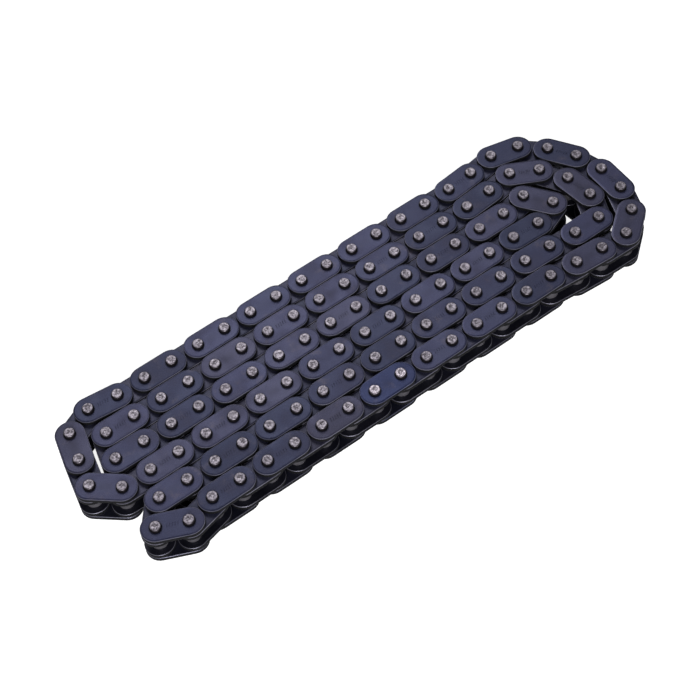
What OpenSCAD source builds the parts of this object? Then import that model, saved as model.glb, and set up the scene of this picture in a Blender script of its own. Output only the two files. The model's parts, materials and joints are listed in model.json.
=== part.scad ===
// Endless steel roller chain of 118 links, joined by a riveted connecting link and laid
// flat on its side in six packed rows. Every pin stands upright.
//
// Pins and links are numbered round the loop from the connecting link. Link n runs from
// pin n to pin n + 1, and link 0 is the connecting link. Even links are outer links, two
// plates on two pins. Odd links are inner links, two plates on two bushes.

/* [Chain] */
// Distance between the centres of neighbouring pins
pitch = 6.35; // [6.2:0.05:8]
// Clear width between the two plates of an inner link
inner_width = 3.18; // [2:0.02:6]

/* [Plates] */
// Height of a plate across its rounded ends
plate_h = 6.02; // [4:0.02:6.1]
// Thickness of an inner plate
inner_plate_t = 1.04; // [0.6:0.02:1.6]
// Thickness of an outer plate
outer_plate_t = 1.04; // [0.6:0.02:1.6]
// Gap between an inner plate and the outer plate beside it
side_gap = 0.1; // [0.05:0.01:0.2]

/* [Pins and bushes] */
// Diameter of a pin
pin_d = 2.31; // [1.6:0.01:2.9]
// Length that a pin stands out of the outer plate at each end
pin_proud = 0.78; // [0.2:0.02:1.5]
// Chamfer on the ends of a pin
pin_chamfer = 0.2; // [0.05:0.05:0.4]
// Outer diameter of a bush
bush_d = 3.3; // [2.7:0.01:3.9]
// Clearance between a pin and its bush, on the radius
pin_clearance = 0.05; // [0.02:0.01:0.1]
// Interference of each press fit, on the diameter
press = 0.01; // [0:0.005:0.02]

/* [Hidden] */
// Rows are numbered from the front. A row lies this many pitches behind the one before it.
row_step = 0.9732;
rows = 6;

// Links in each straight row, in the order that the loop passes through the rows
front_links = 13;    // row 1, to the right
back_links = 13;     // row 6, to the left
third_links = 14;    // row 3, to the right
fourth_links = 14;   // row 4, to the left
fifth_links = 13;    // row 5, to the right
second_links = 13;   // row 2, to the left

// Headings of the links round each bend, in degrees anticlockwise from the right
right_outer_bend = [-6, -5, -2, 38, 69, 88, 105, 122, 136, 167, 189, 186];  // row 1 to 6
left_outer_bend = [-187, -156, -105, -103, -41, -1];                        // row 6 to 3
right_inner_bend = [-2, 21, 125, 190];                                      // row 3 to 4
left_inner_bend = [180, 75, -1];                                            // row 4 to 5
right_middle_bend = [5, 9, -29, -60, -84, -115, -180, -186, -182];          // row 5 to 2
// The last bend, row 2 to 1, has a link on each side of the two that close the loop
left_corner_out = 180;
left_corner_in = 13;

// Links between the start of the front row and the connecting link
connecting_link_place = 6;
// Links that are free to swing away from the packed rows: the last of the first list and
// the first of the second hang on the packed rows, and the two lists meet at pin 0
right_free = [1 : 15];
left_free = [109 : 117];
packed = [16 : 108];

// Sides of a full circle
fine = 48;

outer_plate_colour = "#2b3140";
inner_plate_colour = "#33394a";
pin_colour = "#b9b4b6";
bush_colour = "#3c3a3d";
blued_plate_colour = "#3d4c6b";
bright_pin_colour = "#c8c3c2";

// ---- Route of the loop, in pitches -------------------------------------------------------

function row_y(n) = (n - (rows + 1) / 2) * row_step;
function straight(heading, links) = [for (i = [1 : links]) heading];
function unit(heading) = [cos(heading), sin(heading)];
function total(v) = len(v) == 0 ? 0 : [for (i = v) 1] * v;

// A bend's headings, spread about its middle heading by k
function spread(h, middle, k) = [for (a = h) middle + (a - middle) * k];
// How far a bend carries the chain towards the back, in pitches
function rise(h) = total([for (a = h) sin(a)]);
// The spread at which a bend carries the chain over exactly `wanted` pitches, by halving
function fitted(h, middle, wanted, lo = 0.8, hi = 1.2, steps = 40) =
    let (k = (lo + hi) / 2, reached = abs(rise(spread(h, middle, k))))
    steps == 0 ? spread(h, middle, k)
    : reached > abs(wanted) ? fitted(h, middle, wanted, k, hi, steps - 1)
    : fitted(h, middle, wanted, lo, k, steps - 1);
// A bend from one row to another, turning anticlockwise (side 1) or clockwise (side -1)
function bend(h, from, to, side) = fitted(h, 90 * side, row_y(to) - row_y(from));

headings = concat(
    straight(0, front_links), bend(right_outer_bend, 1, 6, 1),
    straight(180, back_links), bend(left_outer_bend, 6, 3, -1),
    straight(0, third_links), bend(right_inner_bend, 3, 4, 1),
    straight(180, fourth_links), bend(left_inner_bend, 4, 5, 1),
    straight(0, fifth_links), bend(right_middle_bend, 5, 2, -1),
    straight(180, second_links), [left_corner_out]);

// Pins from the start of the front row, link by link
walked = [for (i = 0, p = [0, row_y(1)]; i <= len(headings);
    p = i < len(headings) ? p + unit(headings[i]) : p, i = i + 1) p];
// The two closing links meet at the outer point that is one pitch from both of their ends
corner_from = walked[len(walked) - 1];
corner_to = walked[0] - unit(left_corner_in);
corner_span = corner_to - corner_from;
corner_normal = [corner_span.y, -corner_span.x] / norm(corner_span);
corner = (corner_from + corner_to) / 2
    + corner_normal * sqrt(1 - pow(norm(corner_span) / 2, 2));
loop = concat(walked, [corner, corner_to]);
links = len(loop);

loop_x = [for (p = loop) p.x];
loop_y = [for (p = loop) p.y];
loop_middle = [min(loop_x) + max(loop_x), min(loop_y) + max(loop_y)] / 2;

// Centre of pin n, in millimetres about the middle of the part
function pin_at(n) = (loop[(n + connecting_link_place) % links] - loop_middle) * pitch;

// ---- Levels, measured up and down from the middle of the chain ----------------------------

inner_plate_z = inner_width / 2;
inner_face_z = inner_plate_z + inner_plate_t;
outer_plate_z = inner_face_z + side_gap;
outer_face_z = outer_plate_z + outer_plate_t;
pin_z = outer_face_z + pin_proud;

bush_bore = pin_d + 2 * pin_clearance;
pin_hole = pin_d - press;
bush_hole = bush_d - press;

// ---- Which pieces make up each node -------------------------------------------------------

function free_links() = [for (n = left_free) n, for (n = right_free) n];
function is_outer(n) = n % 2 == 0;
function link_name(n, piece) = str("link_", n, "_", piece);
function plates_name(n) = link_name(n, is_outer(n) ? "outer_plates" : "inner_plates");
function rods_name(n) = link_name(n, is_outer(n) ? "pins" : "bushes");
packed_outer = [for (n = packed) if (is_outer(n)) n];
packed_inner = [for (n = packed) if (!is_outer(n)) n];

// ---- Pieces -------------------------------------------------------------------------------

// Puts its children at pin n, on the chain's middle level
module at_pin(n) {
    p = pin_at(n);
    translate([p.x, p.y, pin_z]) children();
}

// Puts its children at pin n with +X towards pin n + 1
module along_link(n) {
    span = pin_at(n + 1) - pin_at(n);
    at_pin(n) rotate([0, 0, atan2(span.y, span.x)]) children();
}

// Flat plate with rounded ends and a hole at each pin, its lower face at z
module plate(z, thickness, hole) {
    translate([0, 0, z]) linear_extrude(thickness) difference() {
        union() {
            for (x = [0, pitch]) translate([x, 0]) circle(d = plate_h, $fn = fine);
            translate([0, -plate_h / 2]) square([pitch, plate_h]);
        }
        for (x = [0, pitch]) translate([x, 0]) circle(d = hole, $fn = fine);
    }
}

module upper_outer_plate(n) along_link(n) plate(outer_plate_z, outer_plate_t, pin_hole);
module lower_outer_plate(n) along_link(n) plate(-outer_face_z, outer_plate_t, pin_hole);
module upper_inner_plate(n) along_link(n) plate(inner_plate_z, inner_plate_t, bush_hole);
module lower_inner_plate(n) along_link(n) plate(-inner_face_z, inner_plate_t, bush_hole);

// Pin from one riveted end to the other
module chain_pin(n) {
    r = pin_d / 2;
    at_pin(n) rotate_extrude($fn = fine) polygon([
        [0, -pin_z], [r - pin_chamfer, -pin_z], [r, pin_chamfer - pin_z],
        [r, pin_z - pin_chamfer], [r - pin_chamfer, pin_z], [0, pin_z]]);
}

// The connecting link's pin where the loop opens: both ends without the length between the
// outer plates, so that the bush beside it can leave sideways
module open_pin(n) {
    r = pin_d / 2;
    for (side = [0, 1]) at_pin(n) mirror([0, 0, side]) rotate_extrude($fn = fine) polygon([
        [0, outer_plate_z], [r, outer_plate_z],
        [r, pin_z - pin_chamfer], [r - pin_chamfer, pin_z], [0, pin_z]]);
}

// Bush that joins the two plates of an inner link and turns on a pin
module bush(n) {
    at_pin(n) difference() {
        translate([0, 0, -inner_face_z]) cylinder(d = bush_d, h = 2 * inner_face_z, $fn = fine);
        translate([0, 0, -pin_z]) cylinder(d = bush_bore, h = 2 * pin_z, $fn = fine);
    }
}

// The two pins of outer link n, and the two bushes of inner link n
module both_pins(n) for (m = [n, n + 1]) chain_pin(m);
module both_bushes(n) for (m = [n, n + 1]) bush(m);

// ---- Free links, two nodes each -----------------------------------------------------------

module link_plates(n) {
    if (is_outer(n)) {
        color(outer_plate_colour) upper_outer_plate(n);
        color(outer_plate_colour) lower_outer_plate(n);
    } else {
        color(inner_plate_colour) upper_inner_plate(n);
        color(inner_plate_colour) lower_inner_plate(n);
    }
}

module link_rods(n) {
    if (is_outer(n)) color(pin_colour) both_pins(n);
    else color(bush_colour) both_bushes(n);
}

// ---- Connecting link ----------------------------------------------------------------------

module connecting_link_cover_plate() color(blued_plate_colour) upper_outer_plate(0);
module connecting_link_pin_plate() color(blued_plate_colour) lower_outer_plate(0);
module connecting_link_pin() color(bright_pin_colour) chain_pin(1);
module connecting_link_open_pin() color(bright_pin_colour) open_pin(0);

// ---- Packed rows, all the links between the two free ends ---------------------------------

module packed_outer_plates_upper() color(outer_plate_colour) for (n = packed_outer) upper_outer_plate(n);
module packed_outer_plates_lower() color(outer_plate_colour) for (n = packed_outer) lower_outer_plate(n);
module packed_inner_plates_upper() color(inner_plate_colour) for (n = packed_inner) upper_inner_plate(n);
module packed_inner_plates_lower() color(inner_plate_colour) for (n = packed_inner) lower_inner_plate(n);
module packed_pins() color(pin_colour) for (n = packed_outer) both_pins(n);
module packed_bushes() color(bush_colour) for (n = packed_inner) both_bushes(n);

packed_outer_plates_upper();
packed_outer_plates_lower();
packed_inner_plates_upper();
packed_inner_plates_lower();
packed_pins();
packed_bushes();
connecting_link_cover_plate();
connecting_link_pin_plate();
connecting_link_pin();
connecting_link_open_pin();
for (n = free_links()) {
    link_plates(n);
    link_rods(n);
}
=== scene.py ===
"""Looks of a steel roller chain that lies on its side in six packed rows.

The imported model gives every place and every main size. Each of its nodes is stood for by one
detailed piece: link plates with rolled edges, riveted pins, and curled bushes. A plate, a pin
and a bush are each modelled once, in millimetres about their own middle, and then copied to
every place.
"""

from __future__ import annotations

import json
import logging
import math
import random
from collections.abc import Callable, Iterator
from contextlib import contextmanager
from dataclasses import dataclass, field, replace
from enum import Enum

import bmesh
import bpy
import numpy as np
from mathutils import Matrix, Vector


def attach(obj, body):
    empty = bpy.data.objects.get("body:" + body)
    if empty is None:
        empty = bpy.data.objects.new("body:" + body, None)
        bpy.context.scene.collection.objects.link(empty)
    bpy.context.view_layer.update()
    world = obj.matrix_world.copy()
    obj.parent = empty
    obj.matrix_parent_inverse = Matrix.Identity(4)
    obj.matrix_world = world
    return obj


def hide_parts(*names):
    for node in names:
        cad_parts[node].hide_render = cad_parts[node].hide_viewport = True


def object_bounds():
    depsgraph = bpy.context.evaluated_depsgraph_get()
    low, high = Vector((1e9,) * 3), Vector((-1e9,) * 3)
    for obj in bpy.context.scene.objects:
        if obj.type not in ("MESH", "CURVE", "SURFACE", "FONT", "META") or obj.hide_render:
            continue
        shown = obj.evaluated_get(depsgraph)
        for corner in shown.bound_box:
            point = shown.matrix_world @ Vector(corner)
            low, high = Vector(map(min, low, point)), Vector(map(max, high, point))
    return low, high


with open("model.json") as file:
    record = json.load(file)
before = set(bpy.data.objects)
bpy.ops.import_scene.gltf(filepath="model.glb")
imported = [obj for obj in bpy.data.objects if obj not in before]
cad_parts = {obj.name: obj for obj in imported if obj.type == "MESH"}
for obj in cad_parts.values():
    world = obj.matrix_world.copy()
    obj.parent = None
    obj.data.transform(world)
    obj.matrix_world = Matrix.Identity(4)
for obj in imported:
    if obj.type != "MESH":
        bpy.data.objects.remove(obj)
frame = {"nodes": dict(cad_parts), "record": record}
CAD_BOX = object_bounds()
CAD_MIDDLE = (CAD_BOX[0] + CAD_BOX[1]) / 2

log = logging.getLogger("chain")

MM = 0.001
PLAN_MAP = "plan"   # a piece's own X and Y in millimetres, from its middle
RISE = "rise"       # 0 on a piece's inner end or face, 1 on its outer one
TONE = "tone"       # one random share for each plate, pin or bush
SEED = 118
NEAR = 0.001        # millimetres within which two places count as one
FACING = 0.9        # least cosine between a face's normal and the way it is said to face
LEVEL = 0.9999      # the same for a face that is exactly level

Colour = tuple[int, int, int]       # everyday shares of 255


class Slot(Enum):
    """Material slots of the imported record, one for each kind of piece."""

    OUTER_PLATE = "outer_plate"
    INNER_PLATE = "inner_plate"
    BLUED_PLATE = "blued_plate"
    PIN = "pin_steel"
    BRIGHT_PIN = "bright_pin"
    BUSH = "bush_steel"


PLATE_SLOTS = (Slot.OUTER_PLATE, Slot.INNER_PLATE, Slot.BLUED_PLATE)
PIN_SLOTS = (Slot.PIN, Slot.BRIGHT_PIN)
PLAIN, STAMPED = 0, 1   # kinds of plate pattern


# ---- Places, read from the frame ----------------------------------------------------------


@dataclass(frozen=True)
class Solid:
    """One separate solid of a node, by its lowest and highest corner in metres."""

    low: Vector
    high: Vector

    @property
    def middle(self) -> Vector:
        """Centre of the solid's box."""
        return (self.low + self.high) / 2

    @property
    def size(self) -> Vector:
        """Lengths of the solid's box along X, Y and Z."""
        return self.high - self.low


def solids_of(node: str) -> list[Solid]:
    """Splits a node's mesh into its separate solids.

    Args:
        node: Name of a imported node.

    Returns:
        The solids, in the order in which their first vertices come.
    """
    mesh = bmesh.new()
    mesh.from_mesh(frame["nodes"][node].data)
    bmesh.ops.remove_doubles(mesh, verts=mesh.verts, dist=NEAR * MM)
    left = dict.fromkeys(mesh.verts)
    found = []
    while left:
        start = next(iter(left))
        del left[start]
        island, queue = [start], [start]
        while queue:
            for edge in queue.pop().link_edges:
                for vert in edge.verts:
                    if vert in left:
                        del left[vert]
                        island.append(vert)
                        queue.append(vert)
        places = np.array([vert.co for vert in island])
        found.append(Solid(Vector(places.min(0)), Vector(places.max(0))))
    mesh.free()
    return found


@dataclass(frozen=True)
class Sizes:
    """Main sizes of the chain in millimetres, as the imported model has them."""

    pitch: float
    plate_height: float
    plate_thickness: float
    pin_diameter: float
    pin_length: float
    bush_diameter: float
    bush_length: float

    @classmethod
    def measured(cls) -> Sizes:
        """Measures the connecting link, which lies along X, and the link beside it.

        Returns:
            The sizes.
        """
        cover = solids_of("connecting_link_cover_plate")[0]
        pin = solids_of("connecting_link_pin")[0]
        bushes = solids_of("link_1_bushes")
        return cls(
            pitch=(bushes[0].middle - bushes[1].middle).length / MM,
            plate_height=cover.size.y / MM,
            plate_thickness=cover.size.z / MM,
            pin_diameter=pin.size.x / MM,
            pin_length=pin.size.z / MM,
            bush_diameter=bushes[0].size.x / MM,
            bush_length=bushes[0].size.z / MM,
        )


def pin_places() -> np.ndarray:
    """Finds the middles of all pins.

    Returns:
        One row for each pin, with its X and Y in metres.
    """
    nodes = [name for name in frame["nodes"] if name.endswith(("_pins", "_pin"))]
    middles = [solid.middle for name in sorted(nodes) for solid in solids_of(name)]
    return np.array([(place.x, place.y) for place in middles])


# ---- Modelling by hand --------------------------------------------------------------------


def leave_alone() -> None:
    """Deselects everything, so that an operator acts on the new piece only."""
    bpy.ops.object.select_all(action="DESELECT")


@contextmanager
def editing(piece: bpy.types.Object, elements: str = "FACE") -> Iterator[None]:
    """Opens a piece in edit mode.

    Args:
        piece: The mesh object to edit.
        elements: What is selected, "VERT", "EDGE" or "FACE".
    """
    leave_alone()
    piece.select_set(True)
    bpy.context.view_layer.objects.active = piece
    bpy.ops.object.mode_set(mode="EDIT")
    bpy.ops.mesh.select_mode(type=elements)
    yield
    bpy.ops.object.mode_set(mode="OBJECT")


def choose_faces(piece: bpy.types.Object, test: Callable[[bmesh.types.BMFace], bool]) -> None:
    """Selects in edit mode just the faces that pass a test.

    Args:
        piece: The mesh object being edited.
        test: Says whether a face is wanted.
    """
    bpy.ops.mesh.select_all(action="DESELECT")
    mesh = bmesh.from_edit_mesh(piece.data)
    for face in mesh.faces:
        face.select_set(test(face))
    bmesh.update_edit_mesh(piece.data)


def choose_edges(piece: bpy.types.Object, test: Callable[[bmesh.types.BMEdge], bool]) -> None:
    """Selects in edit mode just the edges that pass a test.

    Args:
        piece: The mesh object being edited.
        test: Says whether an edge is wanted.
    """
    bpy.ops.mesh.select_all(action="DESELECT")
    mesh = bmesh.from_edit_mesh(piece.data)
    for edge in mesh.edges:
        edge.select_set(test(edge))
    bmesh.update_edit_mesh(piece.data)


def extrude_up(rise: float, spread: float = 1.0) -> None:
    """Extrudes the selected faces upwards and scales the new end about the Z axis.

    Args:
        rise: Height of the step.
        spread: Scale of the new end, across.
    """
    bpy.ops.mesh.extrude_region_move(TRANSFORM_OT_translate={"value": (0, 0, rise)})
    bpy.ops.transform.resize(value=(spread, spread, 1), center_override=(0, 0, 0))


def cut_away(piece: bpy.types.Object, cutter: bpy.types.Object) -> None:
    """Cuts one object out of another and removes the cutter.

    Args:
        piece: The mesh object that is cut.
        cutter: The closed mesh that is taken away from it.
    """
    leave_alone()
    bpy.context.view_layer.objects.active = piece
    cut = piece.modifiers.new("cut", "BOOLEAN")
    cut.operation = "DIFFERENCE"
    cut.solver = "EXACT"
    cut.object = cutter
    bpy.ops.object.modifier_apply(modifier=cut.name)
    bpy.data.objects.remove(cutter)


def joined(pieces: list[bpy.types.Object], name: str) -> bpy.types.Object:
    """Joins mesh objects into the first of them.

    Args:
        pieces: The objects, all at the origin.
        name: Name of the result.

    Returns:
        The joined object.
    """
    leave_alone()
    for piece in pieces:
        piece.select_set(True)
    bpy.context.view_layer.objects.active = pieces[0]
    if len(pieces) > 1:
        bpy.ops.object.join()
    pieces[0].name = pieces[0].data.name = name
    return pieces[0]


def smooth_round(piece: bpy.types.Object, sharpest: float) -> None:
    """Smooths a piece's round stretches and leaves its level faces flat.

    Args:
        piece: The mesh object.
        sharpest: Angle in degrees up to which two faces are shaded as one.
    """
    leave_alone()
    piece.select_set(True)
    bpy.context.view_layer.objects.active = piece
    bpy.ops.object.shade_smooth_by_angle(angle=math.radians(sharpest))
    for face in piece.data.polygons:
        if abs(face.normal.z) > LEVEL:
            face.use_smooth = False


def write_own_places(piece: bpy.types.Object, half_height: float, both_ways: bool) -> None:
    """Stores on a finished pattern piece where each of its points lies on it.

    Args:
        piece: The mesh object, in millimetres about its own middle.
        half_height: Height of its upper end over its middle, where the rise attribute is 1.
        both_ways: Whether rise is 0 at the middle and 1 at both ends, and not 0 at the lower end.
    """
    mesh = piece.data
    places = np.array([vert.co for vert in mesh.vertices])
    corners = np.array([loop.vertex_index for loop in mesh.loops])
    plan = mesh.uv_layers.get(PLAN_MAP) or mesh.uv_layers.new(name=PLAN_MAP)
    plan.uv.foreach_set("vector", places[corners, :2].astype(np.float32).ravel())
    while len(mesh.uv_layers) > 1:
        mesh.uv_layers.remove(next(layer for layer in mesh.uv_layers if layer.name != PLAN_MAP))
    rise = mesh.attributes.new(RISE, "FLOAT", "POINT")
    heights = places[:, 2] / half_height
    shares = np.abs(heights) if both_ways else (heights + 1) / 2
    rise.data.foreach_set("value", shares.astype(np.float32))


def placed(pattern: bpy.types.Object, place: Matrix, tone: float) -> bpy.types.Object:
    """Copies a pattern piece, mesh and all, to its place on the chain.

    Args:
        pattern: The pattern, in millimetres about its own middle.
        place: Where the copy goes, in metres, without the change of unit.
        tone: The copy's random share.

    Returns:
        The copy, at the origin, with its place in its mesh.
    """
    copy = pattern.copy()
    copy.data = pattern.data.copy()
    bpy.context.scene.collection.objects.link(copy)
    copy.data.transform(place @ Matrix.Scale(MM, 4))
    layer = copy.data.attributes.new(TONE, "FLOAT", "POINT")
    layer.data.foreach_set("value", np.full(len(copy.data.vertices), tone, np.float32))
    return copy


def close_up(piece: bpy.types.Object) -> None:
    """Turns all of a closed pattern's faces outwards.

    Args:
        piece: The mesh object.
    """
    with editing(piece):
        bpy.ops.mesh.select_all(action="SELECT")
        bpy.ops.mesh.normals_make_consistent(inside=False)


# ---- Link plates --------------------------------------------------------------------------


@dataclass
class LinkPlate:
    """Punched link plate: rolled edges outside, a small chamfer inside, and two holes."""

    pitch: float
    height: float
    thickness: float
    hole: float
    stamped: bool = False
    weld: float = 0.002             # the ends' arcs meet in points that are merged
    arc_steps: int = 8              # steps in a quarter of an end
    hole_steps: int = 24
    # Each step of a rolled edge goes this far in and this far up
    outer_roll: tuple[tuple[float, float], ...] = ((0.04, 0.09), (0.09, 0.04), (0.3, 0.02))
    inner_roll: tuple[tuple[float, float], ...] = ((0.04, 0.08), (0.08, 0.04))
    hole_chamfer: float = 0.1
    stroke_count: int = 5
    stroke_step: float = 0.52
    stroke_size: tuple[float, float] = (0.2, 0.95)
    stroke_depth: float = 0.06
    stroke_lean: float = -14.0      # degrees
    stroke_foot: tuple[float, float] = (0.3, 0.9)       # share of its size at the bottom

    def build(self) -> bpy.types.Object:
        """Models the plate level, with its outer face up.

        Returns:
            The pattern piece, in millimetres about its own middle.
        """
        plate = self._blank()
        self._roll_edges(plate)
        self._drill(plate)
        if self.stamped:
            self._stamp(plate)
        close_up(plate)
        smooth_round(plate, sharpest=38)
        write_own_places(plate, self.thickness / 2, both_ways=False)
        return plate

    def _blank(self) -> bpy.types.Object:
        """Punches the outline out of a strip: a rectangle with its corners rounded fully.

        Returns:
            The plate, with sharp edges and without its holes.
        """
        bpy.ops.mesh.primitive_plane_add(size=1)
        plate = bpy.context.object
        below = sum(up for _, up in self.inner_roll)
        wall = self.thickness - below - sum(up for _, up in self.outer_roll)
        with editing(plate, "VERT"):
            bpy.ops.mesh.select_all(action="SELECT")
            bpy.ops.transform.resize(value=(self.pitch + self.height, self.height, 1))
            bpy.ops.mesh.bevel(
                offset=self.height / 2,
                segments=self.arc_steps,
                affect="VERTICES",
                clamp_overlap=False,
            )
            bpy.ops.mesh.select_all(action="SELECT")
            bpy.ops.mesh.remove_doubles(threshold=self.weld)
            bpy.ops.transform.translate(value=(0, 0, below - self.thickness / 2))
            bpy.ops.mesh.select_mode(type="FACE")
            bpy.ops.mesh.select_all(action="SELECT")
            extrude_up(wall)
            bpy.ops.mesh.select_all(action="SELECT")
            bpy.ops.mesh.normals_make_consistent(inside=False)
        return plate

    def _roll_edges(self, plate: bpy.types.Object) -> None:
        """Rolls the edges of both faces over.

        Args:
            plate: The plate to change.
        """
        with editing(plate):
            for side, roll in ((1, self.outer_roll), (-1, self.inner_roll)):
                choose_faces(plate, lambda face: side * face.normal.z > FACING)
                for inwards, up in roll:
                    bpy.ops.mesh.inset(thickness=inwards, depth=up)

    def _drill(self, plate: bpy.types.Object) -> None:
        """Drills both holes, each with a chamfer at the outer face.

        Args:
            plate: The plate to change.
        """
        radius = self.hole / 2
        over = self.hole_chamfer
        cutters = []
        for side in (-1, 1):
            bpy.ops.mesh.primitive_cylinder_add(
                vertices=self.hole_steps,
                radius=radius,
                depth=2 * self.thickness,
            )
            drill = bpy.context.object
            with editing(drill):
                choose_faces(drill, lambda face: face.normal.z > FACING)
                top = self.thickness / 2 - over
                bpy.ops.transform.translate(value=(0, 0, top - self.thickness))
                extrude_up(2 * over, (radius + 2 * over) / radius)
                extrude_up(self.thickness)
                bpy.ops.mesh.select_all(action="SELECT")
                bpy.ops.transform.translate(value=(side * self.pitch / 2, 0, 0))
            cutters.append(drill)
        cut_away(plate, joined(cutters, "drill"))

    def _stamp(self, plate: bpy.types.Object) -> None:
        """Presses a short row of plain leaning strokes into the middle of the outer face.

        Args:
            plate: The plate to change.
        """
        width, length = self.stroke_size
        strokes = []
        for number in range(self.stroke_count):
            bpy.ops.mesh.primitive_cube_add(size=1)
            stroke = bpy.context.object
            along = (number - (self.stroke_count - 1) / 2) * self.stroke_step
            with editing(stroke):
                bpy.ops.mesh.select_all(action="SELECT")
                bpy.ops.transform.resize(value=(width, length, 2 * self.stroke_depth))
                choose_faces(stroke, lambda face: face.normal.z < -FACING)
                bpy.ops.transform.resize(value=(*self.stroke_foot, 1))
            lean = Matrix.Rotation(math.radians(self.stroke_lean), 4, "Z")
            stroke.data.transform(Matrix.Translation((along, 0, self.thickness / 2)) @ lean)
            strokes.append(stroke)
        cut_away(plate, joined(strokes, "strokes"))


# ---- Pins ---------------------------------------------------------------------------------


@dataclass
class RivetedPin:
    """Pin with a spread, dished and slightly battered head at each end."""

    diameter: float
    length: float
    wear_seed: int
    staked: bool = False            # three punch marks instead of a spun head
    sides: int = 24
    # Each step of the head goes this far up, to this share of the pin's radius
    spread: tuple[tuple[float, float], ...] = (
        (0.1, 1.01), (0.1, 0.99), (0.09, 0.94), (0.06, 0.85), (0.03, 0.74),
    )
    # Each step of the dish goes this far in and this far down
    dish: tuple[tuple[float, float], ...] = ((0.16, 0.008), (0.2, 0.02), (0.26, 0.025))
    battering: float = 0.022
    battered_height: float = 0.12   # how far down the head the battering reaches
    punch_marks: int = 3
    punch_depth: float = 0.05
    punch_reach: tuple[float, float] = (0.3, 0.75)      # shares of the radius
    punch_width: float = 0.2        # share of the turn from one mark to the next
    dish_depth: float = 0.09        # punches act on nothing that lies lower

    def build(self) -> bpy.types.Object:
        """Models one half upwards and mirrors it.

        Returns:
            The pattern piece, in millimetres about its own middle.
        """
        radius = self.diameter / 2
        bpy.ops.mesh.primitive_circle_add(vertices=self.sides, radius=radius, fill_type="NGON")
        pin = bpy.context.object
        with editing(pin):
            bpy.ops.mesh.select_all(action="SELECT")
            extrude_up(self.length / 2 - sum(up for up, _ in self.spread))
            share = 1.0
            for up, next_share in self.spread:
                extrude_up(up, next_share / share)
                share = next_share
            for inwards, down in self.dish:
                bpy.ops.mesh.inset(thickness=inwards, depth=-down)
            self._batter(pin)
            choose_faces(pin, lambda face: face.calc_center_median().z < NEAR)
            bpy.ops.mesh.delete(type="FACE")
        mirror = pin.modifiers.new("lower_end", "MIRROR")
        mirror.use_axis = (False, False, True)
        mirror.use_clip = True
        bpy.ops.object.modifier_apply(modifier=mirror.name)
        close_up(pin)
        smooth_round(pin, sharpest=50)
        write_own_places(pin, self.length / 2, both_ways=True)
        return pin

    def _batter(self, pin: bpy.types.Object) -> None:
        """Punches the head and leaves its surface a little uneven.

        Args:
            pin: The half pin, open in edit mode.
        """
        top = self.length / 2
        battered = top - self.battered_height
        if self.staked:
            choose_faces(pin, self._under_punch)
            bpy.ops.transform.translate(value=(0, 0, -self.punch_depth))
        choose_faces(pin, lambda face: face.calc_center_median().z > battered)
        bpy.ops.transform.vertex_random(offset=self.battering, seed=self.wear_seed)
        choose_faces(pin, lambda face: max(vert.co.z for vert in face.verts) > top)
        bpy.ops.transform.resize(value=(1, 1, 0), center_override=(0, 0, top))

    def _under_punch(self, face: bmesh.types.BMFace) -> bool:
        """Says whether a face lies under one of the punches.

        Args:
            face: A face of the half pin.

        Returns:
            True if it lies in the dish, between the punches' inner and outer ends.
        """
        place = face.calc_center_median()
        inner, outer = self.punch_reach
        out = place.xy.length / (self.diameter / 2)
        each = 360 / self.punch_marks
        turn = math.degrees(math.atan2(place.y, place.x)) % each
        in_dish = place.z > self.length / 2 - self.dish_depth
        return in_dish and inner < out < outer and turn < each * self.punch_width


# ---- Bushes -------------------------------------------------------------------------------


@dataclass
class CurledBush:
    """Bush curled from strip, with chamfered ends, a bore, and the seam where it closes."""

    diameter: float
    length: float
    bore: float
    sides: int = 32
    end_chamfer: float = 0.12
    seam_width: float = 0.06
    seam_depth: float = 0.07

    def build(self) -> bpy.types.Object:
        """Models the bush upright.

        Returns:
            The pattern piece, in millimetres about its own middle.
        """
        radius = self.diameter / 2
        bpy.ops.mesh.primitive_cylinder_add(vertices=self.sides, radius=radius, depth=self.length)
        bush = bpy.context.object
        with editing(bush):
            choose_faces(bush, lambda face: abs(face.normal.z) > FACING)
            bpy.ops.mesh.inset(thickness=radius - self.bore / 2)
            bpy.ops.mesh.delete(type="FACE")
        with editing(bush, "EDGE"):
            choose_edges(bush, lambda edge: len(edge.link_faces) == 1)
            bpy.ops.mesh.bridge_edge_loops()
            choose_edges(bush, self._on_outer_rim)
            bpy.ops.mesh.bevel(offset=self.end_chamfer, segments=2, affect="EDGES")
            choose_edges(bush, self._on_seam)
            bpy.ops.mesh.bevel(offset=self.seam_width, segments=2, affect="EDGES")
            choose_edges(bush, self._on_seam)
            bpy.ops.transform.translate(value=(0, -self.seam_depth, 0))
        close_up(bush)
        smooth_round(bush, sharpest=40)
        write_own_places(bush, self.length / 2, both_ways=True)
        return bush

    def _on_outer_rim(self, edge: bmesh.types.BMEdge) -> bool:
        """Says whether an edge runs round an outer end of the bush.

        Args:
            edge: An edge of the bush.

        Returns:
            True if both its ends lie on the outer wall and at an end of the bush.
        """
        at_end = all(abs(vert.co.z) > self.length / 2 - NEAR for vert in edge.verts)
        outside = all(vert.co.xy.length > self.diameter / 2 - NEAR for vert in edge.verts)
        return at_end and outside

    def _on_seam(self, edge: bmesh.types.BMEdge) -> bool:
        """Says whether an edge runs along the bush on its outer wall at +Y.

        Args:
            edge: An edge of the bush.

        Returns:
            True if the edge is the middle of the seam.
        """
        mid_wall = (self.bore + self.diameter) / 4
        start, end = (vert.co for vert in edge.verts)
        in_line = max(abs(start.x), abs(end.x)) < NEAR and min(start.y, end.y) > mid_wall
        return in_line and abs(start.z - end.z) > self.length / 2


# ---- Shader building ----------------------------------------------------------------------


@dataclass(frozen=True)
class Fade:
    """Smooth change from low to high while a measured value goes from start to end."""

    start: float
    end: float
    low: float = 0.0
    high: float = 1.0


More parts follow.
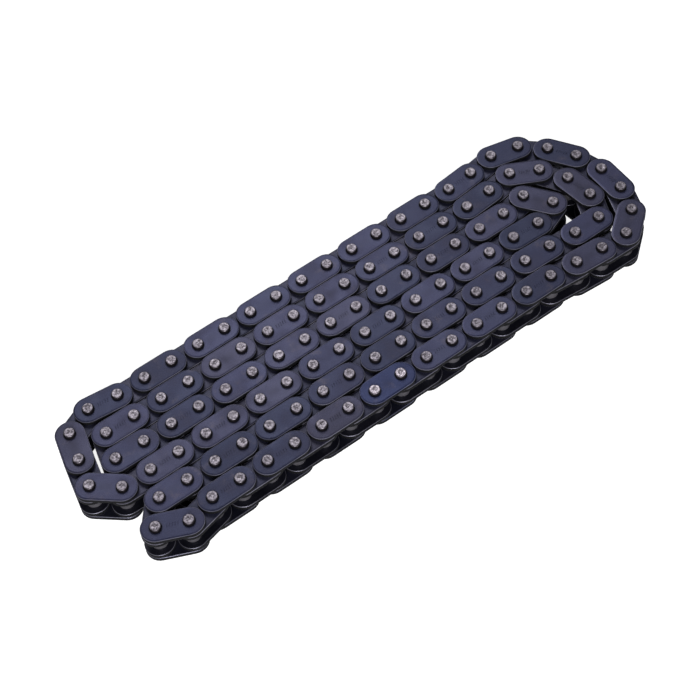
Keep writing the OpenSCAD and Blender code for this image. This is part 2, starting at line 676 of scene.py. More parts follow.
CLOUD_DETAIL = 4.0                  # finer layers of the slow noise
GRAIN_DETAIL = 2.0                  # and of the fine one
SCRATCH_LENGTH = 1.6                # millimetres
SCRATCH_STRETCH = 14.0              # length over width
SCRATCH_DETAIL = 5.0
SCRATCHES = Fade(0.58, 0.74)        # share of the streaky noise that is a scratch


@dataclass
class Graph:
    """A node tree with short ways to add nodes and joins."""

    tree: bpy.types.NodeTree

    def add(self, kind: str, **settings: object) -> bpy.types.Node:
        """Adds a node.

        Args:
            kind: Blender's type name without "ShaderNode".
            settings: Properties of the node.

        Returns:
            The new node.
        """
        node = self.tree.nodes.new("ShaderNode" + kind)
        for name, value in settings.items():
            setattr(node, name, value)
        return node

    def join(self, start: bpy.types.NodeSocket, end: bpy.types.NodeSocket) -> None:
        """Joins an output to an input."""
        self.tree.links.new(start, end)

    def feed(self, socket: bpy.types.NodeSocket, value: object) -> None:
        """Joins an output to a socket, or sets the socket if the value is a plain one.

        Args:
            socket: The input.
            value: Output, number or colour.
        """
        if isinstance(value, bpy.types.NodeSocket):
            self.join(value, socket)
        else:
            socket.default_value = value

    def maths(self, operation: str, *values: object) -> bpy.types.NodeSocket:
        """Adds a Math node.

        Args:
            operation: Blender's name of the operation.
            values: Outputs or numbers for its inputs.

        Returns:
            The node's output.
        """
        node = self.add("Math", operation=operation)
        for socket, value in zip(node.inputs, values):
            self.feed(socket, value)
        return node.outputs[0]

    def fade(self, value: bpy.types.NodeSocket, fade: Fade) -> bpy.types.NodeSocket:
        """Maps a value by a fade.

        Args:
            value: The measured value.
            fade: How the result follows it.

        Returns:
            The mapped value's output.
        """
        node = self.add("MapRange", interpolation_type="SMOOTHSTEP")
        for socket, part in zip(node.inputs, (value, fade.start, fade.end, fade.low, fade.high)):
            self.feed(socket, part)
        return node.outputs[0]

    def mix(
        self, share: object, first: object, second: object, blend: str = "MIX"
    ) -> bpy.types.NodeSocket:
        """Mixes two colours.

        Args:
            share: Output or number, 0 for the first colour only.
            first: Output or RGBA.
            second: Output or RGBA.
            blend: Blender's name of the way of mixing.

        Returns:
            The mixed colour's output.
        """
        node = self.add("Mix", data_type="RGBA", blend_type=blend)
        self.feed(node.inputs["Factor"], share)
        self.feed(node.inputs[6], first)
        self.feed(node.inputs[7], second)
        return node.outputs[2]

    def noise(
        self, place: bpy.types.NodeSocket, scale: object, detail: float
    ) -> bpy.types.NodeSocket:
        """Adds noise.

        Args:
            place: Coordinates.
            scale: Output or number of features in one unit of the coordinates.
            detail: Number of finer layers.

        Returns:
            The noise's value output.
        """
        node = self.add("TexNoise")
        self.join(place, node.inputs["Vector"])
        self.feed(node.inputs["Scale"], scale)
        node.inputs["Detail"].default_value = detail
        return node.outputs[0]

    def dent(
        self,
        shader: bpy.types.Node,
        height: bpy.types.NodeSocket,
        strength: float,
        relief: float,
    ) -> None:
        """Gives a shader fine relief.

        Args:
            shader: The Principled shader.
            height: Output that is higher where the surface is.
            strength: How much of the relief shows, from 0 to 1.
            relief: Height of the relief in millimetres.
        """
        bump = self.add("Bump")
        bump.inputs["Strength"].default_value = strength
        bump.inputs["Distance"].default_value = relief * MM
        self.join(height, bump.inputs["Height"])
        self.join(bump.outputs[0], shader.inputs["Normal"])

    def seen_as(self, shown: bpy.types.Node, lighting: bpy.types.Node, output: str) -> None:
        """Shows the camera one shader while another one lights the chain.

        Args:
            shown: Shader node that the camera sees.
            lighting: Shader node that everything else sees.
            output: Name of the tree's output node.
        """
        chosen = self.add("MixShader")
        self.join(self.add("LightPath").outputs["Is Camera Ray"], chosen.inputs[0])
        self.join(lighting.outputs[0], chosen.inputs[1])
        self.join(shown.outputs[0], chosen.inputs[2])
        self.join(chosen.outputs[0], self.tree.nodes[output].inputs["Surface"])


def new_group(
    name: str, inputs: dict[str, str], outputs: dict[str, str]
) -> tuple[Graph, bpy.types.Node, bpy.types.Node]:
    """Makes an empty shader node group.

    Args:
        name: Name of the group.
        inputs: Type of each named input, such as "Float".
        outputs: Type of each named output.

    Returns:
        The group's graph, its input node and its output node.
    """
    tree = bpy.data.node_groups.new(name, "ShaderNodeTree")
    for in_out, sockets in (("INPUT", inputs), ("OUTPUT", outputs)):
        for socket, kind in sockets.items():
            tree.interface.new_socket(socket, in_out=in_out, socket_type="NodeSocket" + kind)
    graph = Graph(tree)
    return graph, tree.nodes.new("NodeGroupInput"), tree.nodes.new("NodeGroupOutput")


def own_places_group() -> bpy.types.NodeTree:
    """Group that says where a point lies on its own plate.

    Returns:
        Group with the distances in millimetres from the outline and from the nearer pin.
    """
    graph, given, result = new_group(
        "place_on_link",
        {"Half Pitch": "Float", "Half Height": "Float"},
        {"From Edge": "Float", "From Pin": "Float"},
    )
    split = graph.add("SeparateXYZ")
    graph.join(graph.add("UVMap", uv_map=PLAN_MAP).outputs[0], split.inputs[0])
    along = graph.maths("SUBTRACT", graph.maths("ABSOLUTE", split.outputs[0]), given.outputs[0])
    across = graph.maths("POWER", graph.maths("ABSOLUTE", split.outputs[1]), 2.0)
    beyond = graph.maths("POWER", graph.maths("MAXIMUM", along, 0.0), 2.0)
    from_line = graph.maths("SQRT", graph.maths("ADD", beyond, across))
    from_pin_squared = graph.maths("ADD", graph.maths("MULTIPLY", along, along), across)
    from_pin = graph.maths("SQRT", from_pin_squared)
    graph.join(graph.maths("SUBTRACT", given.outputs[1], from_line), result.inputs[0])
    graph.join(from_pin, result.inputs[1])
    return graph.tree


def mottle_group() -> bpy.types.NodeTree:
    """Group for the clouds, grain and scratches of oiled steel.

    Returns:
        Group with a slow cloud value, a fine grain value and a scratch mask.
    """
    graph, given, result = new_group(
        "steel_mottle",
        {"Cloud Size": "Float", "Grain Size": "Float"},
        {"Cloud": "Float", "Grain": "Float", "Scratch": "Float"},
    )
    place = graph.add("TexCoord").outputs["Object"]
    for number, detail in ((0, CLOUD_DETAIL), (1, GRAIN_DETAIL)):
        scale = graph.maths("DIVIDE", 1 / MM, given.outputs[number])
        graph.join(graph.noise(place, scale, detail), result.inputs[number])
    stretched = graph.add("Mapping")
    stretched.inputs["Scale"].default_value = (1.0, SCRATCH_STRETCH, 1.0)
    graph.join(graph.add("UVMap", uv_map=PLAN_MAP).outputs[0], stretched.inputs["Vector"])
    lines = graph.noise(stretched.outputs[0], 1 / SCRATCH_LENGTH, SCRATCH_DETAIL)
    graph.join(graph.fade(lines, SCRATCHES), result.inputs[2])
    return graph.tree


@dataclass
class Shaders:
    """The node groups that the finishes share."""

    place: bpy.types.NodeTree = field(default_factory=own_places_group)
    mottle: bpy.types.NodeTree = field(default_factory=mottle_group)


def linear(colour: Colour) -> tuple[float, float, float, float]:
    """Turns a colour into the one that a shader takes, with full opacity."""
    shares = (channel / 255 for channel in colour)
    return (*((s / 12.92 if s <= 0.04045 else ((s + 0.055) / 1.055) ** 2.4) for s in shares), 1.0)


def new_material(name: str) -> tuple[bpy.types.Material, Graph, bpy.types.Node]:
    """Makes a material with one Principled shader.

    Args:
        name: Name of the material.

    Returns:
        The material, its graph and its shader node.
    """
    material = bpy.data.materials.new(name)
    material.use_nodes = True
    return material, Graph(material.node_tree), material.node_tree.nodes["Principled BSDF"]


def use_group(graph: Graph, tree: bpy.types.NodeTree, **values: float) -> bpy.types.Node:
    """Places a node group in a graph.

    Args:
        graph: The material's graph.
        tree: The group's tree.
        values: Values of its inputs, with _ for the spaces in their names.

    Returns:
        The group node.
    """
    node = graph.add("Group", node_tree=tree)
    for name, value in values.items():
        node.inputs[name.replace("_", " ")].default_value = value
    return node


# ---- Finishes -----------------------------------------------------------------------------


def own_share(graph: Graph, name: str) -> bpy.types.NodeSocket:
    """Reads one of the attributes that every copy of a pattern piece carries.

    Args:
        graph: The material's graph.
        name: RISE or TONE.

    Returns:
        The attribute's value output.
    """
    return graph.add("Attribute", attribute_name=name).outputs["Fac"]


@dataclass(frozen=True)
class OxidePlate:
    """Satin blue-black oxide on punched steel, oiled, rubbed along its edges, and with painted
    shade.

    All lengths are in millimetres.
    """

    name: str
    deep: Colour
    light: Colour
    worn: Colour
    warm: Colour = (58, 56, 70)
    smear: Colour = (92, 84, 92)
    # Near black: dried oil, and painted shade on the inner face and the sheared wall
    near_black_oil_and_shade: tuple[float, float, float, float] = (0.006, 0.006, 0.008, 1.0)
    # The oxide goes from deep to light with the clouds and from plate to plate
    cloud_size: float = 5.5
    grain_size: float = 0.16
    by_cloud: float = 0.9
    by_plate: float = 0.55
    lightening: Fade = Fade(0.35, 1.1)                  # over the two together
    warm_plates: Fade = Fade(0.65, 1.0, 0.0, 0.45)      # over the plate's tone
    warm_clouds: Fade = Fade(0.5, 0.72, 0.0, 0.3)
    scratch_share: float = 0.13
    speckle: Fade = Fade(0.3, 0.7, 0.76, 1.24)          # over the grain
    # Dried oil keeps clear of the edge and of the pins, and is thicker on some plates
    oil_from_edge: Fade = Fade(1.6, 2.9)
    oil_from_pin: Fade = Fade(1.5, 2.4)
    oil_grains: Fade = Fade(0.42, 0.62)
    oil_by_plate: Fade = Fade(0.2, 0.9, 0.05, 0.4)
    # Smears lie anywhere, in clouds and grain of their own
    smear_size: float = 3.4
    smear_grain: float = 0.5
    smear_clouds: Fade = Fade(0.56, 0.74)
    smear_grains: Fade = Fade(0.3, 0.6)
    smear_share: float = 0.3
    # A ring round each pin is painted darker: part grime, part painted contact shadow
    grime_shadow_width: float = 0.42
    grime_shadow_depth: float = 0.42
    # The edge is rubbed, and the wall below it is painted near black from its foot nearly to its
    # top: part torn steel, part painted shade
    rubbed_edge: Fade = Fade(0.17, 0.05)                # over the distance from the outline
    rubbed_clouds: Fade = Fade(0.25, 0.75, 0.4, 1.0)
    wall_from_edge: Fade = Fade(0.038, 0.022)
    wall_foot: Fade = Fade(0.05, 0.13)                  # over the rise
    wall_top: Fade = Fade(0.92, 0.86)
    # The inner face is painted near black: painted shade where the plates hide it
    inner_face_shade: Fade = Fade(0.06, 0.01, 0.0, 0.75)      # over the rise
    metallic: float = 0.6
    roughness: Fade = Fade(0.3, 0.7, 0.35, 0.49)        # over the clouds
    torn_roughness: float = 0.35
    rubbed_polish: float = 0.04
    scratch_depth: float = 0.5
    dent_strength: float = 0.2
    dent_relief: float = 0.03

    def material(self, shaders: Shaders, sizes: Sizes) -> bpy.types.Material:
        """Builds the finish.

        Args:
            shaders: The shared groups.
            sizes: The chain's sizes, for the edge and the pin.

        Returns:
            The material.
        """
        material, graph, shader = new_material(self.name)
        place = use_group(
            graph, shaders.place, Half_Pitch=sizes.pitch / 2, Half_Height=sizes.plate_height / 2
        )
        from_edge, from_pin = place.outputs
        mottle = use_group(
            graph, shaders.mottle, Cloud_Size=self.cloud_size, Grain_Size=self.grain_size
        )
        cloud, grain, scratch = mottle.outputs
        oxide = self._oxide(graph, cloud, scratch)
        body = self._stained(graph, shaders, oxide, place, grain)
        pin = sizes.pin_diameter / 2
        # Part grime, part painted contact shadow: a darker ring round each pin
        grime_and_contact_shadow = graph.fade(from_pin, Fade(pin, pin + self.grime_shadow_width, self.grime_shadow_depth))
        body = graph.mix(1.0, body, grime_and_contact_shadow, "MULTIPLY")
        edge = graph.fade(from_edge, self.rubbed_edge)
        rubbed = graph.maths("MULTIPLY", edge, graph.fade(cloud, self.rubbed_clouds))
        body = graph.mix(rubbed, body, linear(self.worn))
        # The sheared wall is painted near black: part its torn steel, part painted shade
        torn_wall_and_shade = self._torn_and_shaded_wall(graph, from_edge)
        body = graph.mix(torn_wall_and_shade, body, self.near_black_oil_and_shade)
        # Painted shade: the inner face is darkened to near black
        inside = graph.fade(own_share(graph, RISE), self.inner_face_shade)
        body = graph.mix(inside, body, self.near_black_oil_and_shade)
        graph.join(body, shader.inputs["Base Color"])
        rough = graph.fade(cloud, self.roughness)
        rough = graph.maths("ADD", rough, graph.maths("MULTIPLY", torn_wall_and_shade, self.torn_roughness))
        polish = graph.maths("MULTIPLY", rubbed, self.rubbed_polish)
        graph.join(graph.maths("SUBTRACT", rough, polish), shader.inputs["Roughness"])
        shader.inputs["Metallic"].default_value = self.metallic
        scratched = graph.maths("MULTIPLY", scratch, self.scratch_depth)
        height = graph.maths("SUBTRACT", grain, scratched)
        graph.dent(shader, height, self.dent_strength, self.dent_relief)
        return material

    def _oxide(
        self, graph: Graph, cloud: bpy.types.NodeSocket, scratch: bpy.types.NodeSocket
    ) -> bpy.types.NodeSocket:
        """Colours the oxide, which differs from plate to plate and drifts over each of them.

        Args:
            graph: The material's graph.
            cloud: The slow noise.
            scratch: The mask of the scratches.

        Returns:
            The colour's output.
        """
        tone = own_share(graph, TONE)
        drift = graph.maths("MULTIPLY", cloud, self.by_cloud)
        mixed = graph.maths("ADD", drift, graph.maths("MULTIPLY", tone, self.by_plate))
        lightening = graph.fade(mixed, self.lightening)
        body = graph.mix(lightening, linear(self.deep), linear(self.light))
        body = graph.mix(graph.fade(tone, self.warm_plates), body, linear(self.warm))
        body = graph.mix(graph.fade(cloud, self.warm_clouds), body, linear(self.warm))
        scratched = graph.maths("MULTIPLY", scratch, self.scratch_share)
        return graph.mix(scratched, body, linear(self.worn))

    def _stained(
        self,
        graph: Graph,
        shaders: Shaders,
        oxide: bpy.types.NodeSocket,
        place: bpy.types.Node,
        grain: bpy.types.NodeSocket,
    ) -> bpy.types.NodeSocket:
        """Lays dried oil between the pins, pale smears anywhere, and fine speckle on it all.

        Args:
            graph: The material's graph.
            shaders: The shared groups.
            oxide: The colour of the clean oxide.
            place: The group node that says where a point lies on its plate.
            grain: The fine noise.

        Returns:
            The colour's output.
        """
        from_edge, from_pin = place.outputs
        off_edge = graph.fade(from_edge, self.oil_from_edge)
        patch = graph.maths("MULTIPLY", off_edge, graph.fade(from_pin, self.oil_from_pin))
        oiled = graph.maths("MULTIPLY", patch, graph.fade(grain, self.oil_grains))
        on_this_plate = graph.fade(own_share(graph, TONE), self.oil_by_plate)
        body = graph.mix(graph.maths("MULTIPLY", oiled, on_this_plate), oxide, self.near_black_oil_and_shade)
        smears = use_group(
            graph, shaders.mottle, Cloud_Size=self.smear_size, Grain_Size=self.smear_grain
        ).outputs
        in_clouds = graph.fade(smears[0], self.smear_clouds)
        smeared = graph.maths("MULTIPLY", in_clouds, graph.fade(smears[1], self.smear_grains))
        share = graph.maths("MULTIPLY", smeared, self.smear_share)
        body = graph.mix(share, body, linear(self.smear))
        return graph.mix(1.0, body, graph.fade(grain, self.speckle), "MULTIPLY")

    def _torn_and_shaded_wall(self, graph: Graph, from_edge: bpy.types.NodeSocket) -> bpy.types.NodeSocket:
        """Finds the sheared wall below its burnished top, painted near black: part torn steel, part
        painted shade.

        Args:
            graph: The material's graph.
            from_edge: Distance from the outline.

        Returns:
            The wall's mask.
        """
        rise = own_share(graph, RISE)
        foot = graph.fade(rise, self.wall_foot)
        band = graph.maths("MULTIPLY", foot, graph.fade(rise, self.wall_top))
        return graph.maths("MULTIPLY", graph.fade(from_edge, self.wall_from_edge), band)


@dataclass(frozen=True)
class RivetSteel:
    """Bare pin steel, stained in the head's dish and round its rim, with painted shade down its
    side.

    All lengths are in millimetres.
    """

    name: str
    bright: Colour
    dull: Colour
    stain: Colour
    # Near black down the pin's side: painted shade
    painted_flank_shade: Colour = (30, 27, 31)
    cloud_size: float = 0.7
    grain_size: float = 0.36
    brightening: Fade = Fade(0.32, 0.68)                # from dull to bright, over the clouds
    dulled_by_pin: float = 0.35
    dish: Fade = Fade(0.7, 0.3, 0.0, 0.5)               # over the share of the way to the rim
    dish_grains: Fade = Fade(0.36, 0.6)
    specks: Fade = Fade(0.54, 0.7, 0.0, 0.6)            # over the grain
    rim: Fade = Fade(0.68, 0.96, 0.0, 0.55)             # over the share of the way to the rim
    # The side share paints shade down the pin's side
    side: Fade = Fade(0.99, 0.955, 0.0, 0.9)            # over the rise
    metallic: float = 0.85
    roughness: Fade = Fade(0.3, 0.7, 0.3, 0.5)          # over the grain
    side_roughness: float = 0.25
    dent_strength: float = 0.35
    dent_relief: float = 0.06

    def material(self, shaders: Shaders, sizes: Sizes) -> bpy.types.Material:
        """Builds the finish.

        Args:
            shaders: The shared groups.
            sizes: The chain's sizes, for the head.

        Returns:
            The material.
        """
        material, graph, shader = new_material(self.name)
        mottle = use_group(
            graph, shaders.mottle, Cloud_Size=self.cloud_size, Grain_Size=self.grain_size
        )
        cloud, grain, _ = mottle.outputs
        length = graph.add("VectorMath", operation="LENGTH")
        graph.join(graph.add("UVMap", uv_map=PLAN_MAP).outputs[0], length.inputs[0])
        out = graph.maths("DIVIDE", length.outputs["Value"], sizes.pin_diameter / 2)
        bright = graph.fade(cloud, self.brightening)
        body = graph.mix(bright, linear(self.dull), linear(self.bright))
        duller = graph.maths("MULTIPLY", own_share(graph, TONE), self.dulled_by_pin)
        body = graph.mix(duller, body, linear(self.dull))
        in_dish = graph.fade(out, self.dish)
        stained = graph.maths("MULTIPLY", in_dish, graph.fade(grain, self.dish_grains))
        specks = graph.fade(grain, self.specks)
        rim = graph.fade(out, self.rim)
        for share in (stained, specks, rim):
            body = graph.mix(share, body, linear(self.stain))
        # Painted shade: the pin's side is darkened to near black
        down = graph.fade(own_share(graph, RISE), self.side)
        body = graph.mix(down, body, linear(self.painted_flank_shade))
        graph.join(body, shader.inputs["Base Color"])
        rougher = graph.maths("MULTIPLY", down, self.side_roughness)
        rough = graph.maths("ADD", graph.fade(grain, self.roughness), rougher)
        graph.join(rough, shader.inputs["Roughness"])
        shader.inputs["Metallic"].default_value = self.metallic
        graph.dent(shader, grain, self.dent_strength, self.dent_relief)
        return material


@dataclass(frozen=True)
class OiledBush:
    """Hardened steel under a film of oil, dark towards its ends and pale round its middle: part the
    track where it has run, part a painted highlight.

    All lengths are in millimetres.
    """

    name: str
    steel: Colour
    # The pale colour is part the worn track, part a painted highlight
    rubbed: Colour
    cloud_size: float = 1.8
    grain_size: float = 0.2
    wear_track_and_highlight: Fade = Fade(0.45, 0.85, 1.0, 0.1)            # over the rise, from the middle
    rubbed_clouds: Fade = Fade(0.3, 0.7, 0.8, 1.0)
    metallic: float = 0.15
    roughness: Fade = Fade(0.3, 0.7, 0.24, 0.38)        # over the clouds
    oil_film: float = 0.25
    oil_roughness: float = 0.2
    dent_strength: float = 0.1
    dent_relief: float = 0.03

    def material(self, shaders: Shaders, sizes: Sizes) -> bpy.types.Material:
        """Builds the finish.

        Args:
            shaders: The shared groups.
            sizes: The chain's sizes, which a bush's finish does without.

        Returns:
            The material.
        """
        material, graph, shader = new_material(self.name)
        mottle = use_group(
            graph, shaders.mottle, Cloud_Size=self.cloud_size, Grain_Size=self.grain_size
        )
        cloud, grain, _ = mottle.outputs
        # Pale round the middle: part the worn track, part a painted highlight
        wear_track_and_highlight = graph.fade(own_share(graph, RISE), self.wear_track_and_highlight)
        rubbed = graph.maths("MULTIPLY", wear_track_and_highlight, graph.fade(cloud, self.rubbed_clouds))
        body = graph.mix(rubbed, linear(self.steel), linear(self.rubbed))
        graph.join(body, shader.inputs["Base Color"])
        graph.join(graph.fade(cloud, self.roughness), shader.inputs["Roughness"])
        shader.inputs["Metallic"].default_value = self.metallic
        shader.inputs["Coat Weight"].default_value = self.oil_film
        shader.inputs["Coat Roughness"].default_value = self.oil_roughness
        graph.dent(shader, grain, self.dent_strength, self.dent_relief)
        return material


FINISHES = {
    Slot.OUTER_PLATE: OxidePlate("blue_black_outer", (41, 45, 70), (64, 65, 94), (134, 133, 150)),
    Slot.INNER_PLATE: OxidePlate("blue_black_inner", (39, 41, 61), (52, 53, 75), (150, 148, 164)),
    Slot.BLUED_PLATE: OxidePlate("heat_blued_cover", (33, 41, 76), (48, 55, 91), (140, 142, 172)),
    Slot.PIN: RivetSteel("riveted_pin_steel", (156, 150, 159), (114, 109, 118), (58, 52, 56)),
    Slot.BRIGHT_PIN: RivetSteel("staked_pin_steel", (198, 190, 199), (168, 160, 169), (92, 84, 92)),
    # The bush's pale colour is part wear, part a painted highlight
    Slot.BUSH: OiledBush("oiled_bush_steel", (60, 58, 64), (236, 232, 240)),
}


# ---- Sub-assemblies -----------------------------------------------------------------------


@dataclass
class Workshop:
    """Pattern pieces and finishes that every section of the chain is made from."""

    sizes: Sizes
    pins: np.ndarray
    shaders: Shaders
    draw: random.Random
    head_kinds: int = 4
    pin_clearance: float = 0.05     # between pin and bush, on the radius
    stamped_share: float = 0.35     # share of the outer plates that carry strokes
    patterns: dict[tuple[Slot, int], bpy.types.Object] = field(default_factory=dict)
    materials: dict[Slot, bpy.types.Material] = field(default_factory=dict)

    def make_patterns(self) -> None:
        """Models each plate, pin and bush once, and mixes the finishes."""
        sizes = self.sizes
        for slot in PLATE_SLOTS:
            hole = sizes.bush_diameter if slot is Slot.INNER_PLATE else sizes.pin_diameter
            plate = LinkPlate(sizes.pitch, sizes.plate_height, sizes.plate_thickness, hole)
            self.patterns[slot, PLAIN] = plate.build()
            if slot is Slot.OUTER_PLATE:
                self.patterns[slot, STAMPED] = replace(plate, stamped=True).build()
        for slot in PIN_SLOTS:
            for kind in range(self.head_kinds):
                staked = slot is Slot.BRIGHT_PIN
                pin = RivetedPin(sizes.pin_diameter, sizes.pin_length, kind, staked)
                self.patterns[slot, kind] = pin.build()
        bore = sizes.pin_diameter + 2 * self.pin_clearance
        bush = CurledBush(sizes.bush_diameter, sizes.bush_length, bore)
        self.patterns[Slot.BUSH, PLAIN] = bush.build()
        for slot, finish in FINISHES.items():
            self.materials[slot] = finish.material(self.shaders, sizes)

    def clear_patterns(self) -> None:
        """Removes the pattern pieces once every copy is in place."""
        for pattern in self.patterns.values():
            bpy.data.objects.remove(pattern)


@dataclass
class Section:
    """One rigid section of the chain: a body and the nodes that make it up."""

    body: str
    nodes: list[str]
    slots: dict[str, Slot]
    shop: Workshop

    def build(self) -> list[bpy.types.Object]:
        """Builds and dresses one detailed piece for each node.

        Returns:
            The finished pieces.
        """
        return [self._piece(node, self.slots[node]) for node in self.nodes]

    def _piece(self, node: str, slot: Slot) -> bpy.types.Object:
        """Builds the piece that stands for one node.

        Args:
            node: Name of the node.
            slot: Its material slot.

        Returns:
            The finished piece, riding on its body.
        """
        copies = [self._copy(solid, slot) for solid in solids_of(node)]
        piece = joined(copies, node + "_detailed")
        piece.data.materials.clear()
        piece.data.materials.append(self.shop.materials[slot])
        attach(piece, self.body)
        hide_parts(node)
        return piece

    def _copy(self, solid: Solid, slot: Slot) -> bpy.types.Object:
        """Copies the right pattern to the place of one solid.

        Args:
            solid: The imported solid.
            slot: Its material slot.

        Returns:
            The copy.
        """
        if slot in PLATE_SLOTS:
            return self._plate(solid, slot)
        if slot in PIN_SLOTS:
            return self._pin(solid, slot)
        turn = Matrix.Rotation(self.shop.draw.uniform(0, 2 * math.pi), 4, "Z")
        place = Matrix.Translation(solid.middle) @ turn
        return placed(self.shop.patterns[slot, PLAIN], place, self.shop.draw.random())

    def _plate(self, solid: Solid, slot: Slot) -> bpy.types.Object:
        """Lays a plate from pin to pin, with its outer face away from the chain's middle.

        Args:
            solid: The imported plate.
            slot: Its material slot.

        Returns:
            The copy.
        """
        shop = self.shop
        middle = solid.middle
        reach = np.hypot(*(shop.pins - np.array(middle.xy)).T)
        ends = shop.pins[np.argsort(reach)[:2]]
        along = Vector(ends[1] - ends[0])
        place = Matrix.Translation(middle) @ Matrix.Rotation(math.atan2(along.y, along.x), 4, "Z")
        if middle.z < CAD_MIDDLE.z:
            place = place @ Matrix.Rotation(math.pi, 4, "X")
        stamped = shop.draw.random() < shop.stamped_share and slot is Slot.OUTER_PLATE
        kind = STAMPED if stamped else PLAIN
        return placed(shop.patterns[slot, kind], place, shop.draw.random())

    def _pin(self, solid: Solid, slot: Slot) -> bpy.types.Object:
        """Stands a pin in place, cut down to one end where the solid is only an end.

        Args:
            solid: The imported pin.
            slot: Its material slot.

        Returns:
            The copy.
        """
        shop = self.shop
        kind = shop.draw.randrange(shop.head_kinds)
        turn = Matrix.Rotation(shop.draw.uniform(0, 2 * math.pi), 4, "Z")
        stand = Vector((solid.middle.x, solid.middle.y, CAD_MIDDLE.z))
        place = Matrix.Translation(stand) @ turn
        pin = placed(shop.patterns[slot, kind], place, shop.draw.random())
        if solid.size.z < shop.sizes.pin_length * MM / 2:
            upper = solid.middle.z > CAD_MIDDLE.z
            cut = solid.low.z if upper else solid.high.z
            with editing(pin):
                bpy.ops.mesh.select_all(action="SELECT")
                bpy.ops.mesh.bisect(
                    plane_co=(0, 0, cut), plane_no=(0, 0, 1), use_fill=True,
                    clear_inner=upper, clear_outer=not upper, threshold=NEAR * MM,
                )
        return pin


# ---- Studio -------------------------------------------------------------------------------


def direction(azimuth: float, elevation: float) -> Vector:
    """Finds the way from the chain towards the camera or a lamp.

    Args:
        azimuth: Degrees round the chain, 0 in front of it.
        elevation: Degrees above the floor.

    Returns:
        A unit vector.
    """
    turn, rise = math.radians(azimuth), math.radians(elevation)
    level = math.cos(rise)
    return Vector((math.sin(turn) * level, -math.cos(turn) * level, math.sin(rise)))


@dataclass(frozen=True)
class Softbox:
    """Square lamp that faces the chain."""

    name: str
    azimuth: float                  # degrees, as for the camera
    elevation: float
    width: float                    # metres
    power: float                    # watts
    distance: float = 0.9           # metres

    def hang(self) -> None:
        """Hangs the lamp in its place."""
        lamp = bpy.data.lights.new(self.name, "AREA")
        lamp.size = self.width
        lamp.energy = self.power
        holder = bpy.data.objects.new(self.name, lamp)
        bpy.context.scene.collection.objects.link(holder)
        away = direction(self.azimuth, self.elevation)
        holder.location = away * self.distance
        holder.rotation_euler = away.to_track_quat("Z", "Y").to_euler()


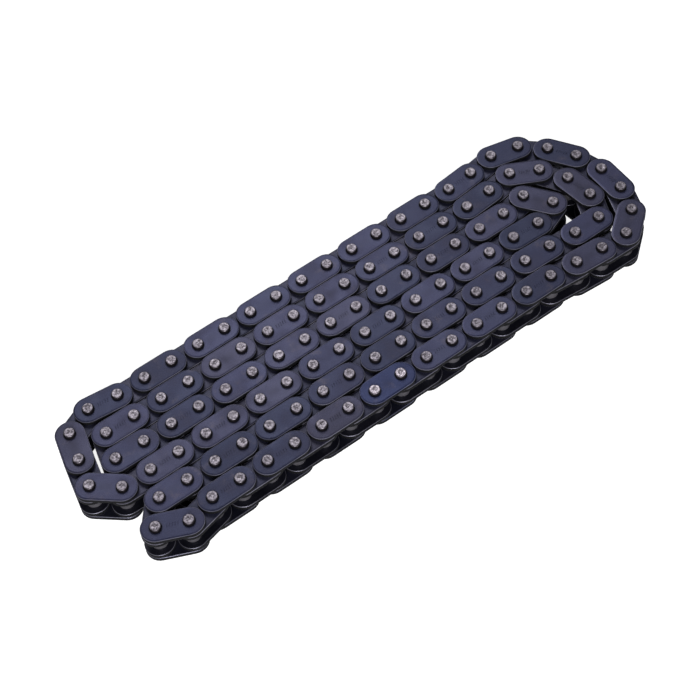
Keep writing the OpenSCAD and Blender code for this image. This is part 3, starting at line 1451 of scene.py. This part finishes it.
@dataclass(frozen=True)
class Studio:
    """White floor, soft light from above, two softboxes and the camera."""

    azimuth: float = -31.335        # degrees, 0 looks along +Y
    elevation: float = 54.957
    roll: float = -6.189
    lens: float = 88.07             # millimetres on a 36 mm sensor
    distance: float = 0.33734       # metres
    nearest: float = 0.01           # metres from the camera to what it can first see
    aim: tuple[float, float] = (-0.00616, -0.00507)     # from the box's middle, in metres
    floor_size: float = 6.0         # metres
    floor_grey: float = 0.55
    floor_roughness: float = 0.9
    floor_glow: float = 0.14        # what the floor adds to the light on the chain
    floor_white: float = 0.75       # what makes it read white to the camera
    sky_colour: tuple[float, float, float, float] = (0.93, 0.94, 1.0, 1.0)
    sky_strength: float = 0.145
    sky_fade: Fade = Fade(0.1, 0.95, 0.35, 1.0)         # from the floor to overhead
    softboxes: tuple[Softbox, ...] = (
        Softbox("back_softbox", azimuth=158, elevation=50, width=0.45, power=2.25),
        Softbox("front_softbox", azimuth=-31, elevation=30, width=0.5, power=8.5),
    )

    def set_up(self) -> None:
        """Makes the floor, the lights and the camera."""
        self._floor()
        self._sky()
        for softbox in self.softboxes:
            softbox.hang()
        self._camera()
        bpy.context.scene.view_settings.view_transform = "Standard"

    def _floor(self) -> None:
        """Lays a plain floor that reads white, with only a faint shadow on it."""
        bpy.ops.mesh.primitive_plane_add(size=self.floor_size, location=(0, 0, CAD_BOX[0].z))
        floor = bpy.context.object
        floor.name = "floor"
        material, graph, shader = new_material("white_floor")
        shader.inputs["Base Color"].default_value = (*(self.floor_grey,) * 3, 1)
        shader.inputs["Roughness"].default_value = self.floor_roughness
        shader.inputs["Specular IOR Level"].default_value = 0.0
        shader.inputs["Emission Color"].default_value = (1, 1, 1, 1)
        shader.inputs["Emission Strength"].default_value = self.floor_glow
        glow = graph.add("Emission")
        glow.inputs["Strength"].default_value = self.floor_white
        brighter = graph.add("AddShader")
        graph.join(shader.outputs[0], brighter.inputs[0])
        graph.join(glow.outputs[0], brighter.inputs[1])
        graph.seen_as(brighter, shader, "Material Output")
        floor.data.materials.append(material)

    def _sky(self) -> None:
        """Lights the chain from a dome that is bright overhead and dim near the floor."""
        world = bpy.data.worlds.new("soft_dome")
        world.use_nodes = True
        bpy.context.scene.world = world
        graph = Graph(world.node_tree)
        height = graph.add("SeparateXYZ")
        graph.join(graph.add("TexCoord").outputs["Generated"], height.inputs[0])
        shine = graph.fade(height.outputs[2], self.sky_fade)
        dome = world.node_tree.nodes["Background"]
        graph.join(graph.mix(1.0, self.sky_colour, shine, "MULTIPLY"), dome.inputs["Color"])
        dome.inputs["Strength"].default_value = self.sky_strength
        white = graph.add("Background")
        white.inputs["Color"].default_value = (1, 1, 1, 1)
        graph.seen_as(white, dome, "World Output")

    def _camera(self) -> None:
        """Stands the camera where it looks down on the top of the chain."""
        camera = bpy.data.objects.new("camera", bpy.data.cameras.new("camera"))
        bpy.context.scene.collection.objects.link(camera)
        bpy.context.scene.camera = camera
        camera.data.lens = self.lens
        camera.data.clip_start = self.nearest
        back = direction(self.azimuth, self.elevation)
        level = Matrix.Rotation(math.radians(self.azimuth), 3, "Z") @ Vector((1, 0, 0))
        right = Matrix.Rotation(math.radians(self.roll), 3, back) @ level
        up = back.cross(right)
        target = Vector((CAD_MIDDLE.x + self.aim[0], CAD_MIDDLE.y + self.aim[1], CAD_BOX[1].z))
        stand = Matrix((right, up, back)).transposed().to_4x4()
        stand.translation = target + back * self.distance
        camera.matrix_world = stand


# ---- The whole chain ----------------------------------------------------------------------


def main() -> None:
    """Builds the studio and then the chain, section by section."""
    logging.basicConfig(level=logging.INFO, format="%(message)s")
    bpy.ops.object.select_all(action="DESELECT")
    Studio().set_up()
    shop = Workshop(Sizes.measured(), pin_places(), Shaders(), random.Random(SEED))
    shop.make_patterns()
    record = frame["record"]
    slots = {part["node"]: Slot(part["material_slot"]) for part in record["subparts"]}
    for body, nodes in record["behaviour"]["bodies"].items():
        for piece in Section(body, nodes, slots, shop).build():
            log.info("%s: %d faces on %s", piece.name, len(piece.data.polygons), body)
    shop.clear_patterns()


if __name__ == "__main__":
    main()
